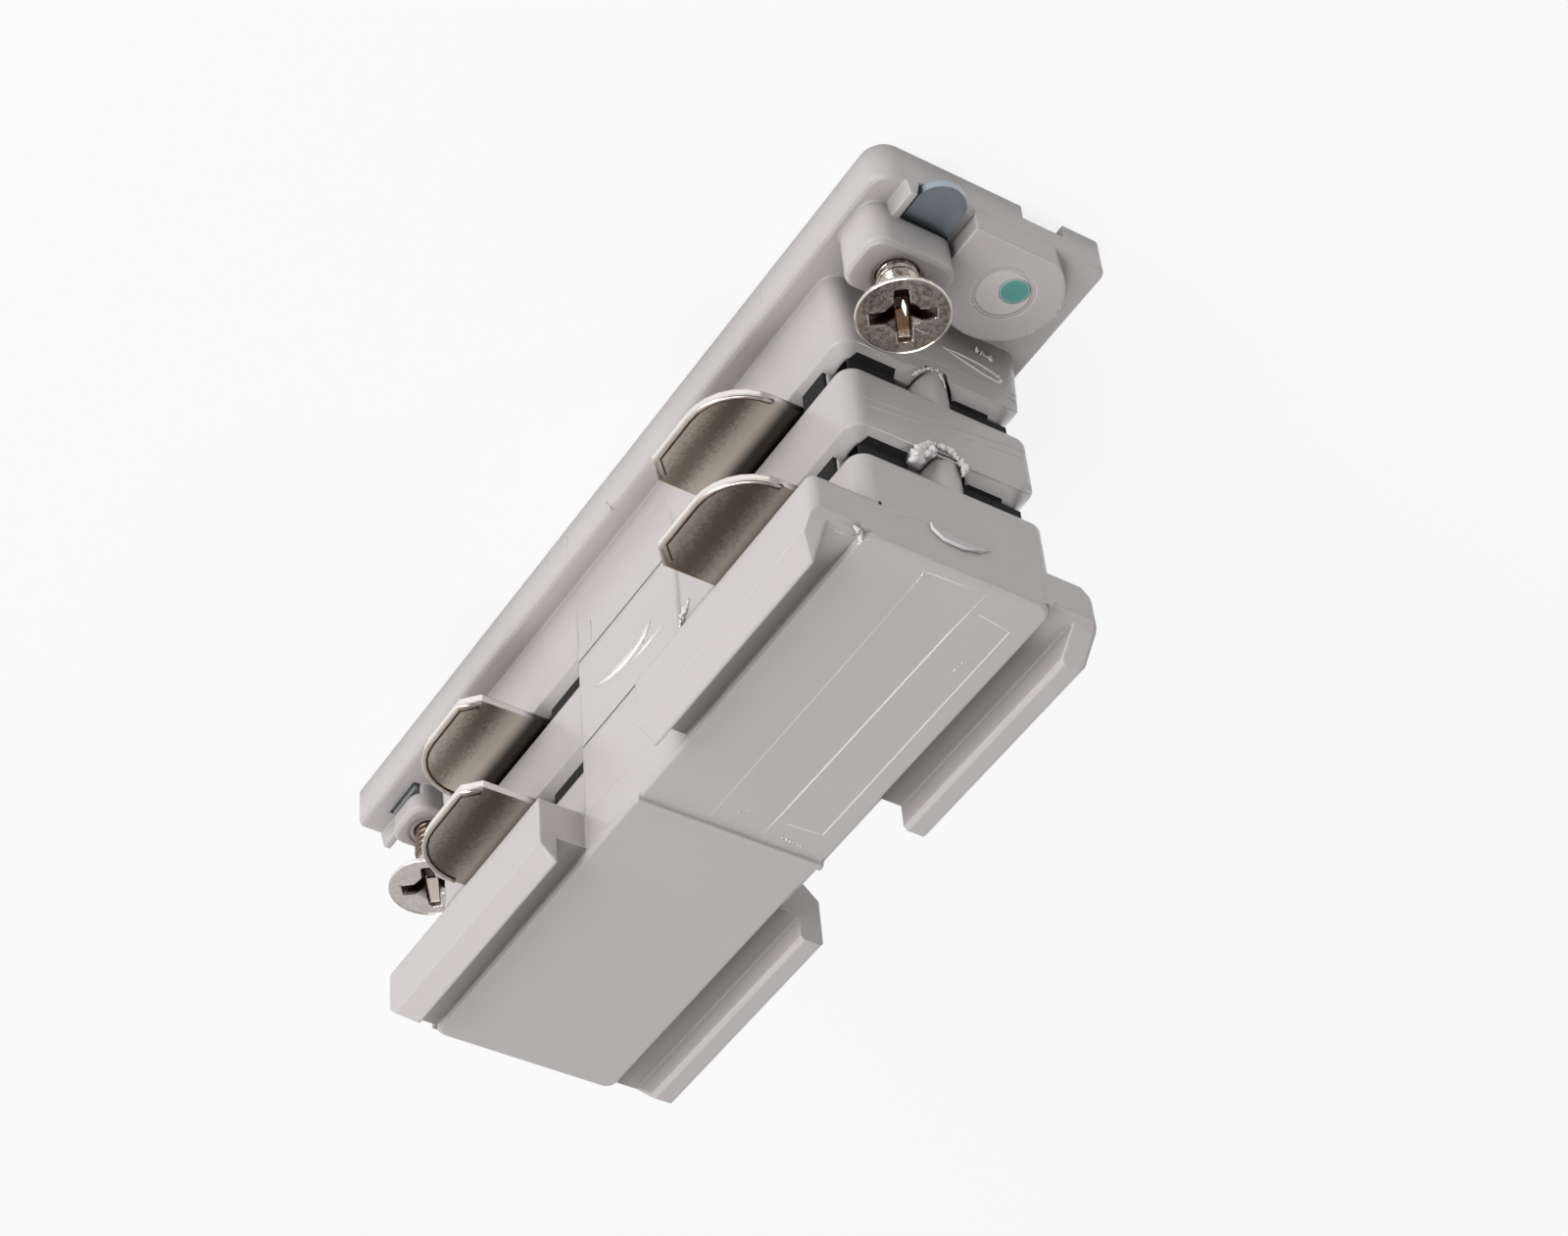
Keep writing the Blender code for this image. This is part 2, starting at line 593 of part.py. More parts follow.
def build_front_housing(mat):
    root = Z_FRONT + FRONT_DECK_HEIGHT / 2
    base = add_object("front_housing", deck(Z_FRONT, Z_GROOVE - BLOCK_LIFT, 0, DECK_EDGE), mat)
    seat = Z_MIDDLE_TOP + CLEARANCE
    adds = []
    for side in (-1, 1):
        end = side * (cover_end(side) - EPS)
        sharp, broad = cover_sections()
        x0, x1 = sorted((side * RAIL_GAP / 2, end))
        adds.append(profile_along_x(sharp, x0, x1))
        x0, x1 = sorted((side * RAIL_GAP / 2 - BROAD_GAP_SHIFT, end))
        adds.append(profile_along_x(broad, x0, x1))

    def face(inset):
        return rounded_box_outline(inset - cover_end(-1), cover_end(1) - inset, inset - HALF_NECK,
                                   HALF_NECK - inset, BLOCK_CORNER - inset)
    edge = BLOCK_CORNER / 4
    adds.append(loft([(face(0), Z_FLANGE + edge), (face(0), Z_BLOCK - edge), (face(edge), Z_BLOCK)]))
    adds.append(neck(seat, Z_BLOCK - edge))
    w = DIVIDER_RIB_WIDTH / 2
    rib_end = HALF_NECK - EPS
    adds.append(profile_along_y([(-w, Z_BLOCK - edge), (w, Z_BLOCK - edge), (w / 2, Z_BLOCK + DIVIDER_RIB_HEIGHT),
                                 (-w / 2, Z_BLOCK + DIVIDER_RIB_HEIGHT)], -rib_end, rib_end))
    cuts = strip_channels(seat - MM, Z_FRONT)
    for side in (-1, 1):
        tip = cover_end(side)
        end = tip + MM
        ramp = [(side * (tip - RAIL_END_RAMP), Z_RAIL + EPS), (side * (tip + EPS), Z_RAIL - RAIL_END_DROP),
                (side * end, Z_RAIL - RAIL_END_DROP), (side * end, Z_RAIL + EPS)]
        for edge_side in (-1, 1):
            y0, y1 = sorted((edge_side * (HALF_NECK + EPS), edge_side * (HALF_COVER + MM)))
            cuts.append(profile_along_y(ramp, y0, y1))
            cuts.append(corner_cut(side, edge_side))
    combine(base, adds, "UNION")
    combine(base, cuts, "DIFFERENCE")
    combine(base, slot_supports(seat, root, Z_FRONT - PEG_REACH_FRONT), "UNION")
    return finish(base)


def build_contact(name, direction, z_deck, mat):
    """Contact strip, held between its bed and the deck above it."""
    z1 = z_deck - CLEARANCE
    obj = add_object(name, prism(tongue_strip(direction), z1 - CONTACT_THICKNESS, z1), mat)
    return finish(obj, 30)


def build_screw(name, side, mat):
    """Countersunk screw with a cross recess; it hangs on its thread above the boss."""
    cx, cy = side * SCREW_X, SCREW_Y
    cone = HEAD_RADIUS - SHANK_RADIUS
    c, s = math.cos(math.radians(RECESS_TURN_DEGREES)), math.sin(math.radians(RECESS_TURN_DEGREES))
    z_cone = Z_HEAD - HEAD_RIM - cone
    body = revolve([(0, SCREW_TIP_LIFT), (SHANK_RADIUS * 0.55, SCREW_TIP_LIFT),
                    (SHANK_RADIUS, SCREW_TIP_LIFT + SHANK_RADIUS * 0.6),
                    (SHANK_RADIUS, min(z_cone, Z_HEAD - HEAD_HEIGHT)), (HEAD_RADIUS, Z_HEAD - HEAD_RIM),
                    (HEAD_RADIUS - HEAD_RIM * 0.5, Z_HEAD), (0, Z_HEAD)], cx, cy)
    obj = add_object(name, body, mat)
    arms = []
    w, reach = RECESS_WIDTH / 2, RECESS_REACH
    for turn in (0, 1):
        top = [(-reach, -w), (reach, -w), (reach, w), (-reach, w)]
        low = [(-w * 1.2, -w * 0.6), (w * 1.2, -w * 0.6), (w * 1.2, w * 0.6), (-w * 1.2, w * 0.6)]
        if turn:
            top = [(-y, x) for x, y in top]
            low = [(-y, x) for x, y in low]
        lift = RECESS_DEPTH * 0.25
        wide = [(x * (1 + 0.25 * 0.6), y * 1.1) if not turn else (x * 1.1, y * (1 + 0.25 * 0.6)) for x, y in top]
        arms.append(loft([([(cx + x * c - y * s, cy + x * s + y * c) for x, y in ring], z)
                          for ring, z in ((low, Z_HEAD - RECESS_DEPTH), (wide, Z_HEAD + lift))]))
    combine(obj, arms, "DIFFERENCE")
    finish(obj, 30)
    set_origin(obj, Vector((cx, cy, Z_HEAD)))
    return obj


def build_nut_plate(name, side, mat):
    obj = add_object(name, prism(nut_outline(side, 0), Z_NUT, Z_NUT + NUT_THICKNESS), mat)
    hole = prism(circle_outline(side * SCREW_X, SCREW_Y, SHANK_RADIUS + CLEARANCE / 5), Z_NUT - MM, Z_NUT + 2 * MM)
    combine(obj, [hole], "DIFFERENCE")
    finish(obj, 30)
    set_origin(obj, Vector((side * SCREW_X, SCREW_Y, Z_NUT)))
    return obj


def build_round_plug(name, side, mat, with_marker):
    """Snap plug flush with the face of the round boss; the near one carries the earth marker."""
    cx, cy = side * ROUND_BOSS_X, ROUND_BOSS_Y
    edge = 0.12 * MM
    body = revolve([(0, Z_ROUND_BOSS - PLUG_DEPTH), (PLUG_RADIUS, Z_ROUND_BOSS - PLUG_DEPTH),
                    (PLUG_RADIUS, Z_ROUND_BOSS - edge), (PLUG_RADIUS - edge, Z_ROUND_BOSS),
                    (0, Z_ROUND_BOSS)], cx, cy)
    obj = add_object(name, body, mat)
    if with_marker:
        combine(obj, [prism(circle_outline(cx - MARKER_SHIFT_X, cy + MARKER_SHIFT_Y, MARKER_RADIUS + CLEARANCE / 5),
                            Z_ROUND_BOSS - MARKER_DEPTH - CLEARANCE / 5, Z_ROUND_BOSS + MM)], "DIFFERENCE")
    return finish(obj, 30)


def build_marker(mat):
    cx, cy = -ROUND_BOSS_X - MARKER_SHIFT_X, ROUND_BOSS_Y + MARKER_SHIFT_Y
    return finish(add_object("earth_marker_dot", prism(circle_outline(cx, cy, MARKER_RADIUS),
                                                       Z_ROUND_BOSS - MARKER_DEPTH, Z_ROUND_BOSS), mat), 30)


def build_earth_bar(mat):
    """Earth strip in the back channel, with a lug at each end that the screw passes through."""
    y0 = CHANNEL_START + CLEARANCE
    y1 = CHANNEL_START + CHANNEL_WIDTH - CLEARANCE
    z0 = EARTH_LIFT
    end = PLATE_END - EARTH_END_SETBACK
    half = EARTH_LUG_WIDTH / 2
    low = SCREW_Y - half
    points = [(-SCREW_X + half, y0), (SCREW_X - half, y0), (SCREW_X - half, low), (SCREW_X + half, low),
              (SCREW_X + half, y0), (end, y0), (end, y1), (-end, y1), (-end, y0), (-SCREW_X - half, y0),
              (-SCREW_X - half, low), (-SCREW_X + half, low)]
    obj = add_object("earth_bar", prism(points, z0, z0 + EARTH_THICKNESS), mat)
    holes = [prism(circle_outline(side * SCREW_X, SCREW_Y, SHANK_RADIUS + CLEARANCE), z0 - MM, z0 + 2 * MM)
             for side in (-1, 1)]
    combine(obj, holes, "DIFFERENCE")
    return finish(obj, 30)


def main():
    clear_scene()
    grey = material("grey_nylon", (0.50, 0.48, 0.46), 0.5)
    grey_mid = material("grey_nylon_middle", (0.49, 0.47, 0.455), 0.5)
    grey_front = material("grey_nylon_front", (0.51, 0.49, 0.47), 0.5)
    plug_grey = material("plug_grey", (0.49, 0.48, 0.47), 0.45)
    contact = material("nickel_contact", (0.52, 0.47, 0.40), 0.3, 1.0)
    screw_metal = material("nickel_screw", (0.55, 0.50, 0.43), 0.28, 1.0)
    zinc = material("zinc_nut", (0.36, 0.41, 0.46), 0.4, 1.0)
    earth = material("earth_strip", (0.30, 0.20, 0.13), 0.45, 1.0)
    teal = material("marker_teal", (0.10, 0.42, 0.36), 0.5)

    build_back_housing(grey)
    build_middle_insulator(grey_mid)
    build_front_housing(grey_front)
    build_contact("phase_conductor_1", -1, Z_MIDDLE, contact)
    build_contact("phase_conductor_2", -1, Z_FRONT, contact)
    build_contact("phase_conductor_3", 1, Z_MIDDLE, contact)
    build_contact("neutral_conductor", 1, Z_FRONT, contact)
    build_earth_bar(earth)
    for name, side in (("near", -1), ("far", 1)):
        build_screw(f"{name}_clamp_screw", side, screw_metal)
        build_nut_plate(f"{name}_nut_plate", side, zinc)
        build_round_plug(f"{name}_round_plug", side, plug_grey, side < 0)
    build_marker(teal)


main()
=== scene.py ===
import math
import random

import bmesh
import bpy
from mathutils import Euler, Matrix, Vector, noise


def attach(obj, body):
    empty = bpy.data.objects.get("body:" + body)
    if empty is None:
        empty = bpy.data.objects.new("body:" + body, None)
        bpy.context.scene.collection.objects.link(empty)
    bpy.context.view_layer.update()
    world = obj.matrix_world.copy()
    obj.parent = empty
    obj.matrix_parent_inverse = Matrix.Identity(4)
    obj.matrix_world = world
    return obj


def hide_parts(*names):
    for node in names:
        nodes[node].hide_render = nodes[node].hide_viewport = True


MM = 0.001

# Places on the solids that the surface detail sits on, in mm.
DECK_END = -31.5
NECK_SIDE = -8.4
LETTERING_FACE = 32.65
LOWER_JOINT, UPPER_JOINT = 12.0, 21.4
ROUND_BOSS_TOP = 5.5
ROUND_BOSS = (37.36, 3.5)
SCREW_X, SCREW_Y, SCREW_TOP = 36.5, -6.05, 12.85
FACE_RADIUS, HEAD_RINGS, HEAD_POINTS = 3.55, 60, 160
RECESS_TURN = math.radians(37.0)
RECESS_FLOOR = 1.7
ARM_REACH = 2.55
TONGUE_ROOT = 9.6
TONGUE_MIDDLE = 11.5

# Figures that several materials share.
NYLON_IOR = 1.53
THIN_ROUNDING = 0.01 * MM
CREVICE_SHADE_REACH = 3.5 * MM
METAL_GRAIN = 0.03 * MM
REFLECTION_BAND_WOBBLE = 1.1 * MM
EDGE_HIGHLIGHT_COLOUR = (0.90, 0.88, 0.87)
SIDE_HIGHLIGHT = (0.93, 0.88, 0.84)

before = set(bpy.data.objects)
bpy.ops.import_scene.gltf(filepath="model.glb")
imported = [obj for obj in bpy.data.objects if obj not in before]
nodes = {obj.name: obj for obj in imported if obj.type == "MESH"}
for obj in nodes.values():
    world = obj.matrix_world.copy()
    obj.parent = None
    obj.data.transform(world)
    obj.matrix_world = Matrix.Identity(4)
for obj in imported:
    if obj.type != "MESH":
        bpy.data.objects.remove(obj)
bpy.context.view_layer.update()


class Graph:
    """Short calls on a node tree. Most of them add one node and return its main output."""

    def __init__(self, tree):
        self.tree = tree

    def add(self, kind, **settings):
        node = self.tree.nodes.new("ShaderNode" + kind)
        for key, value in settings.items():
            setattr(node, key, value)
        return node

    def feed(self, socket, value):
        """Link an output to an input, or set the input to a plain value."""
        if isinstance(value, bpy.types.NodeSocket):
            self.tree.links.new(value, socket)
        elif socket.type == "RGBA":
            socket.default_value = (*value, 1)
        else:
            socket.default_value = value

    def coordinates(self):
        return self.add("TexCoord").outputs["Object"]

    def cloud(self, scale, detail, roughness=0.5):
        node = self.add("TexNoise")
        self.feed(node.inputs["Vector"], self.coordinates())
        self.feed(node.inputs["Scale"], scale)
        self.feed(node.inputs["Detail"], detail)
        self.feed(node.inputs["Roughness"], roughness)
        return node.outputs["Fac"]

    def axes(self, vector):
        node = self.add("SeparateXYZ")
        self.feed(node.inputs[0], vector)
        return node.outputs

    def maths(self, operation, *values, clamp=False):
        node = self.add("Math", operation=operation, use_clamp=clamp)
        for socket, value in zip(node.inputs, values):
            self.feed(socket, value)
        return node.outputs[0]

    def vector(self, operation, *values):
        node = self.add("VectorMath", operation=operation)
        for socket, value in zip(node.inputs, values):
            self.feed(socket, value)
        return node.outputs["Value" if operation in ("DOT_PRODUCT", "LENGTH") else "Vector"]

    def ramp(self, value, low, high, start=0.0, end=1.0, smooth=False):
        node = self.add("MapRange", interpolation_type="SMOOTHSTEP" if smooth else "LINEAR")
        for key, number in (("Value", value), ("From Min", low), ("From Max", high), ("To Min", start),
                            ("To Max", end)):
            self.feed(node.inputs[key], number)
        return node.outputs["Result"]

    def blend(self, factor, first, second, mode="MIX"):
        node = self.add("Mix", data_type="RGBA", blend_type=mode)
        for index, value in ((0, factor), (6, first), (7, second)):
            self.feed(node.inputs[index], value)
        return node.outputs[2]

    def rounded(self, samples, radius):
        """Normal that rounds the edges off."""
        node = self.add("Bevel", samples=samples)
        self.feed(node.inputs["Radius"], radius)
        return node.outputs["Normal"]

    def bump(self, height, strength, distance, normal=None):
        node = self.add("Bump")
        self.feed(node.inputs["Height"], height)
        self.feed(node.inputs["Strength"], strength)
        self.feed(node.inputs["Distance"], distance)
        if normal is not None:
            self.feed(node.inputs["Normal"], normal)
        return node.outputs["Normal"]

    def true_normal(self):
        return self.add("NewGeometry").outputs["Normal"]


def new_material(name):
    mat = bpy.data.materials.new(name)
    mat.use_nodes = True
    return mat, Graph(mat.node_tree), mat.node_tree.nodes["Principled BSDF"]


def plastic(name, base, dark, roughness, crevice_shade=0.5, rim=0.75, rounding=0.4 * MM):
    """Satin moulded plastic: mottled colour, fine grain, a painted highlight on open edges and painted shade
    in crevices.
    """
    mat, graph, shader = new_material(name)
    mottled = graph.blend(graph.cloud(180.0, 4.0), dark, base)
    rounded = graph.rounded(8, rounding)
    # Ambient occlusion darkens the colour in crevices: painted shade.
    occlusion = graph.add("AmbientOcclusion", samples=6)
    occlusion.inputs["Distance"].default_value = CREVICE_SHADE_REACH
    light = occlusion.outputs["AO"]
    crevice_shaded = graph.blend(1.0, mottled, graph.ramp(light, 0.25, 0.85, crevice_shade), "MULTIPLY")
    # Where the rounded normal leaves the true one there is an edge, and open edges get a pale painted
    # highlight.
    turn = graph.vector("DOT_PRODUCT", graph.true_normal(), rounded)
    edge_highlight = graph.maths("MULTIPLY", graph.ramp(turn, 0.985, 0.80, 0.0, rim), light, clamp=True)
    graph.feed(shader.inputs["Base Color"], graph.blend(edge_highlight, crevice_shaded, EDGE_HIGHLIGHT_COLOUR))
    graph.feed(shader.inputs["Normal"], graph.bump(graph.cloud(2500.0, 3.0), 0.12, 0.05 * MM, rounded))
    shader.inputs["Roughness"].default_value = roughness
    shader.inputs["IOR"].default_value = NYLON_IOR
    return mat


def metal(name, base, dark, roughness, scale=900.0):
    """Plain metal with a cloudy colour."""
    mat, graph, shader = new_material(name)
    graph.feed(shader.inputs["Base Color"], graph.blend(graph.cloud(scale, 5.0), dark, base))
    shader.inputs["Metallic"].default_value = 1.0
    shader.inputs["Roughness"].default_value = roughness
    return mat


def contact_metal(name, reflection_band_at, reflection_band_width, base, dark):
    """Nickel strip with speckled grain and a dark band along the track on its crowned tip, a painted
    reflection.
    """
    mat, graph, shader = new_material(name)
    side = graph.maths("ABSOLUTE", graph.axes(graph.coordinates())["Y"])
    speckle = graph.cloud(3000.0, 3.0, 0.7)
    wobble = graph.maths("MULTIPLY_ADD", speckle, 2 * REFLECTION_BAND_WOBBLE, side)
    away = graph.maths("ABSOLUTE", graph.maths("SUBTRACT", wobble, reflection_band_at + REFLECTION_BAND_WOBBLE))
    face = graph.blend(graph.ramp(away, 0.1 * reflection_band_width, reflection_band_width, smooth=True), dark, base)
    # A painted highlight brightens the strip's side faces, and painted shade darkens its root in the slot.
    side_face = graph.ramp(graph.axes(graph.true_normal())["Z"], 0.8, 0.3)
    whole = graph.blend(side_face, face, SIDE_HIGHLIGHT)
    root = graph.ramp(side, 8.9 * MM, 10.3 * MM, 0.10, smooth=True)
    graph.feed(shader.inputs["Base Color"], graph.blend(1.0, whole, root, "MULTIPLY"))
    normal = graph.bump(speckle, 0.45, METAL_GRAIN, graph.rounded(6, 0.25 * MM))
    graph.feed(shader.inputs["Normal"], normal)
    shader.inputs["Metallic"].default_value = 1.0
    shader.inputs["Roughness"].default_value = 0.3
    return mat


def turned_metal(name, base, dark, recess_shade, centre, pit_depth):
    """Screw metal: dark speckle, and painted shade in the recess below the face at the head's centre."""
    mat, graph, shader = new_material(name)
    grain = graph.cloud(2600.0, 5.0, 0.75)
    speckled = graph.blend(graph.ramp(grain, 0.32, 0.66, smooth=True), dark, base)
    place = graph.coordinates()
    height = graph.axes(place)["Z"]
    low = graph.ramp(height, centre[2] - 0.08 * MM, centre[2] - pit_depth)
    plan = graph.vector("MULTIPLY", graph.vector("SUBTRACT", place, centre), (1, 1, 0))
    inside = graph.ramp(graph.vector("LENGTH", plan), 2.9 * MM, 2.7 * MM)
    above = graph.maths("GREATER_THAN", height, centre[2] - 2.2 * MM)
    recess = graph.maths("MULTIPLY", graph.maths("MULTIPLY", low, inside), above)
    graph.feed(shader.inputs["Base Color"], graph.blend(recess, speckled, recess_shade))
    graph.feed(shader.inputs["Normal"], graph.bump(grain, 0.5, METAL_GRAIN))
    shader.inputs["Metallic"].default_value = 1.0
    shader.inputs["Roughness"].default_value = 0.2
    return mat


def shaded_grooves(name, base, dark, roughness, low, high, shade_share):
    """Plastic with painted shade in the long grooves beside the rails, between two levels in metres."""
    mat = plastic(name, base, dark, roughness)
    graph = Graph(mat.node_tree)
    shader = mat.node_tree.nodes["Principled BSDF"]
    unshaded = shader.inputs["Base Color"].links[0].from_socket
    x, y, z = graph.axes(graph.coordinates())
    side = graph.maths("ABSOLUTE", y)
    # Painted shade: the grooves are darkened on their upward faces, less towards the near end and the far
    # end.
    shade_amount = graph.ramp(side, 7.2 * MM, 7.9 * MM)
    for limit in (graph.ramp(z, low - 0.2 * MM, low),
                  graph.ramp(z, high + 0.25 * MM, high),
                  graph.ramp(graph.axes(graph.true_normal())["Z"], 0.3, 0.7),
                  graph.ramp(x, -30.0 * MM, -26.5 * MM, 0.15, smooth=True),
                  graph.ramp(x, 32.0 * MM, 12.0 * MM, 0.7, smooth=True),
                  graph.ramp(side, 11.0 * MM, 8.6 * MM, 0.35)):
        shade_amount = graph.maths("MULTIPLY", shade_amount, limit)
    groove_shade = (base[0] * shade_share, base[1] * shade_share * 1.03, base[2] * shade_share)
    graph.feed(shader.inputs["Base Color"], graph.blend(shade_amount, unshaded, groove_shade))
    return mat


def head_centre(x):
    """Middle of a screw head's face in metres."""
    return (x * MM, SCREW_Y * MM, SCREW_TOP * MM)


NYLON = ((0.585, 0.55, 0.545), (0.555, 0.525, 0.52), 0.25)
grey = plastic("grey_nylon", *NYLON)
pale = plastic("pale_nylon", (0.70, 0.67, 0.66), (0.64, 0.61, 0.60), 0.34, 0.9, 0.0, THIN_ROUNDING)
fine_grey = plastic("fine_grey", *NYLON, 0.7, 0.0, THIN_ROUNDING)
# Near-white nylon: whitened flash, whose white on the thin ridges and specks is partly a painted highlight.
flash_and_highlight = plastic("flash_and_highlight_nylon", (0.98, 0.97, 0.96), (0.88, 0.86, 0.85), 0.36, 0.9, 0.0, THIN_ROUNDING)
lower_nickel = contact_metal("lower_contact_nickel", 12.9 * MM, 1.9 * MM, (0.74, 0.68, 0.59),
                             (0.33, 0.275, 0.225))
upper_nickel = contact_metal("upper_contact_nickel", 12.4 * MM, 2.6 * MM, (0.68, 0.63, 0.545),
                             (0.25, 0.22, 0.18))
near_nickel = turned_metal("near_screw_nickel", (0.74, 0.67, 0.60), (0.24, 0.195, 0.165),
                           (0.11, 0.065, 0.04), head_centre(-SCREW_X), 0.8 * MM)
far_nickel = turned_metal("far_screw_nickel", (0.99, 0.93, 0.90), (0.82, 0.74, 0.70),
                          (0.13, 0.11, 0.10), head_centre(SCREW_X), 0.5 * MM)
grooved = shaded_grooves("grooved_nylon", *NYLON, 31.9 * MM, 32.2 * MM, 0.28)
# A lighter copy of the nickel paints highlights on the screws' rim and recess edges.
bright = metal("bright_nickel", (0.97, 0.95, 0.92), (0.90, 0.87, 0.83), 0.18)
# A paler copy of the nickel paints the highlight on the tongues' rims.
rim_metal = metal("nickel_rim_highlight", (0.88, 0.82, 0.77), (0.62, 0.54, 0.48), 0.3)
black = plastic("slot_black", (0.012, 0.011, 0.01), (0.006, 0.006, 0.006), 0.9, 1.0, 0.0, THIN_ROUNDING)
# A lighter copy of the zinc, painted light on the far nut plate, which lies in shade.
zinc_painted_light = metal("zinc_painted_light", (0.78, 0.81, 0.84), (0.60, 0.63, 0.66), 0.5, 420.0)
# A dark copy of the shank metal paints the shade over the far screw's shank.
shaded_shank = metal("far_shank_painted_shade", (0.42, 0.34, 0.28), (0.16, 0.11, 0.08), 0.28, 2600.0)
# Near-black metal as painted shade, for the inside of the pin hole and the lines inside the tongues' rims.
painted_shade_metal = metal("painted_shade_dark", (0.14, 0.09, 0.07), (0.07, 0.05, 0.04), 0.4)
zinc = metal("zinc_plate", (0.52, 0.58, 0.63), (0.26, 0.31, 0.36), 0.36, 420.0)
earth = metal("earth_strip", (0.16, 0.09, 0.05), (0.10, 0.06, 0.04), 0.5)
teal = plastic("teal_print", (0.13, 0.40, 0.36), (0.09, 0.33, 0.30), 0.5)

looks = {
    "back_housing": grey, "middle_insulator": grey, "front_housing": grooved,
    "near_round_plug": pale, "far_round_plug": pale, "earth_marker_dot": teal,
    "phase_conductor_1": lower_nickel, "phase_conductor_2": upper_nickel,
    "phase_conductor_3": lower_nickel, "neutral_conductor": upper_nickel,
    "near_clamp_screw": near_nickel, "far_clamp_screw": far_nickel,
    "near_nut_plate": zinc, "far_nut_plate": zinc_painted_light, "earth_bar": earth,
}
for name, mat in looks.items():
    obj = nodes[name]
    obj.data.materials.clear()
    obj.data.materials.append(mat)


def add_piece(name, bm, mat, body="connector", smooth=True):
    """Small piece of detail that moves with one body, in the given material."""
    mesh = bpy.data.meshes.new(name)
    bmesh.ops.recalc_face_normals(bm, faces=bm.faces)
    bm.to_mesh(mesh)
    bm.free()
    obj = bpy.data.objects.new(name, mesh)
    bpy.context.scene.collection.objects.link(obj)
    mesh.materials.append(mat)
    if smooth:
        mesh.shade_smooth()
    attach(obj, body)
    return obj


def bridge(bm, first, second):
    """Band of faces between two rings of vertices."""
    for i in range(len(first)):
        j = (i + 1) % len(first)
        bm.faces.new((first[i], first[j], second[j], second[i]))


def skin_over(bm, loops):
    """Closed skin over a row of vertex loops."""
    bm.faces.new(loops[0])
    for a, b in zip(loops, loops[1:]):
        bridge(bm, a, b)
    bm.faces.new(list(reversed(loops[-1])))


def ring_of(bm, points):
    """New vertices of a mesh at points in mm."""
    return [bm.verts.new(Vector(p) * MM) for p in points]


def circle(centre, radius, z, count):
    """Points in mm round a level circle."""
    steps = [2 * math.pi * i / count for i in range(count)]
    return [(centre[0] + radius * math.cos(a), centre[1] + radius * math.sin(a), z) for a in steps]


def ridge(bm, points, out, width, height, sink=0.05, crown=0.45):
    """Low ridge with sloping sides along a line of points in mm, standing out of a flat face."""
    out = Vector(out)
    pts = [Vector(p) for p in points]
    loops = []
    for i, p in enumerate(pts):
        step = (pts[min(i + 1, len(pts) - 1)] - pts[max(i - 1, 0)]).normalized()
        across = step.cross(out).normalized()
        taper = 0.35 if i in (0, len(pts) - 1) else 1.0
        w, h = width * taper / 2, height * taper
        loops.append(ring_of(bm, [p + q for q in (
            -across * w - out * sink, -across * w * crown + out * h, across * w * crown + out * h,
            across * w - out * sink)]))
    skin_over(bm, loops)


def ragged(bm, path, radius, spacing, seed, stretch=1.4):
    """Chain of lumpy beads in mm along a path, like melted or torn plastic."""
    rng = random.Random(seed)
    pts = [Vector(p) for p in path]
    for a, b in zip(pts, pts[1:]):
        count = max(1, int((b - a).length / spacing))
        for i in range(count):
            centre = a.lerp(b, (i + rng.random() * 0.6) / count)
            centre += Vector([rng.uniform(-1, 1) for _ in range(3)]) * radius * 0.35
            size = radius * rng.uniform(0.55, 1.15)
            made = bmesh.ops.create_icosphere(bm, subdivisions=2, radius=1.0)["verts"]
            tilt = Euler([rng.uniform(0, 3.1) for _ in range(3)]).to_matrix()
            offset = Vector([rng.uniform(0, 50) for _ in range(3)])
            for v in made:
                lump = 1.0 + 0.55 * noise.noise(v.co * 1.7 + offset)
                shape = Vector((v.co.x * stretch, v.co.y, v.co.z * 0.8)) * lump * size
                v.co = (centre + tilt @ shape) * MM


def annulus(bm, centre, inner, outer, z, depth, count=48):
    """Flat ring in mm with its face at height z."""
    rings = [ring_of(bm, circle(centre, radius, level, count))
             for radius, level in ((inner, z - depth), (inner, z), (outer, z), (outer, z - depth))]
    for a, b in zip(rings, rings[1:] + rings[:1]):
        bridge(bm, a, b)


def box(bm, low, high):
    """Upright box in mm between two corners."""
    for v in bmesh.ops.create_cube(bm, size=1.0)["verts"]:
        v.co = Vector([(a + b) / 2 + c * (b - a) for a, b, c in zip(low, high, v.co)]) * MM


def on_end(points, out=0.0):
    """Points in mm on the near end of the decks, from their y and z."""
    return [(DECK_END - out, y, z) for y, z in points]


def on_neck(points, out=0.0):
    """Points in mm on the visible side of the neck, from their x and z."""
    return [(x, NECK_SIDE - out, z) for x, z in points]


def on_face(points):
    """Points in mm on the lettering face, from their x and y."""
    return [(x, y, LETTERING_FACE) for x, y in points]


# Melted plastic round the upper weld peg, and a thinner burr round the lower one.
bm = bmesh.new()
ragged(bm, [(-31.7, -3.0, 22.3), (-31.8, -2.6, 21.3), (-31.7, -2.0, 20.5), (-31.7, -1.1, 19.7)],
       0.36, 0.20, 3)
ragged(bm, [(-31.7, -2.5, 22.0), (-31.8, -1.7, 21.0), (-31.7, -1.2, 20.4)], 0.32, 0.24, 5)
ragged(bm, [(-31.7, -1.3, 21.0), (-31.7, -1.0, 20.7)], 0.20, 0.2, 6)
ragged(bm, [(-31.6, -1.1, 19.6), (-31.6, -0.1, 19.3), (-31.6, 0.9, 19.5), (-31.65, 1.5, 20.2),
            (-31.65, 1.75, 21.0), (-31.5, 1.65, 21.6)], 0.25, 0.17, 9)
add_piece("melted_peg_ring", bm, flash_and_highlight)
bm = bmesh.new()
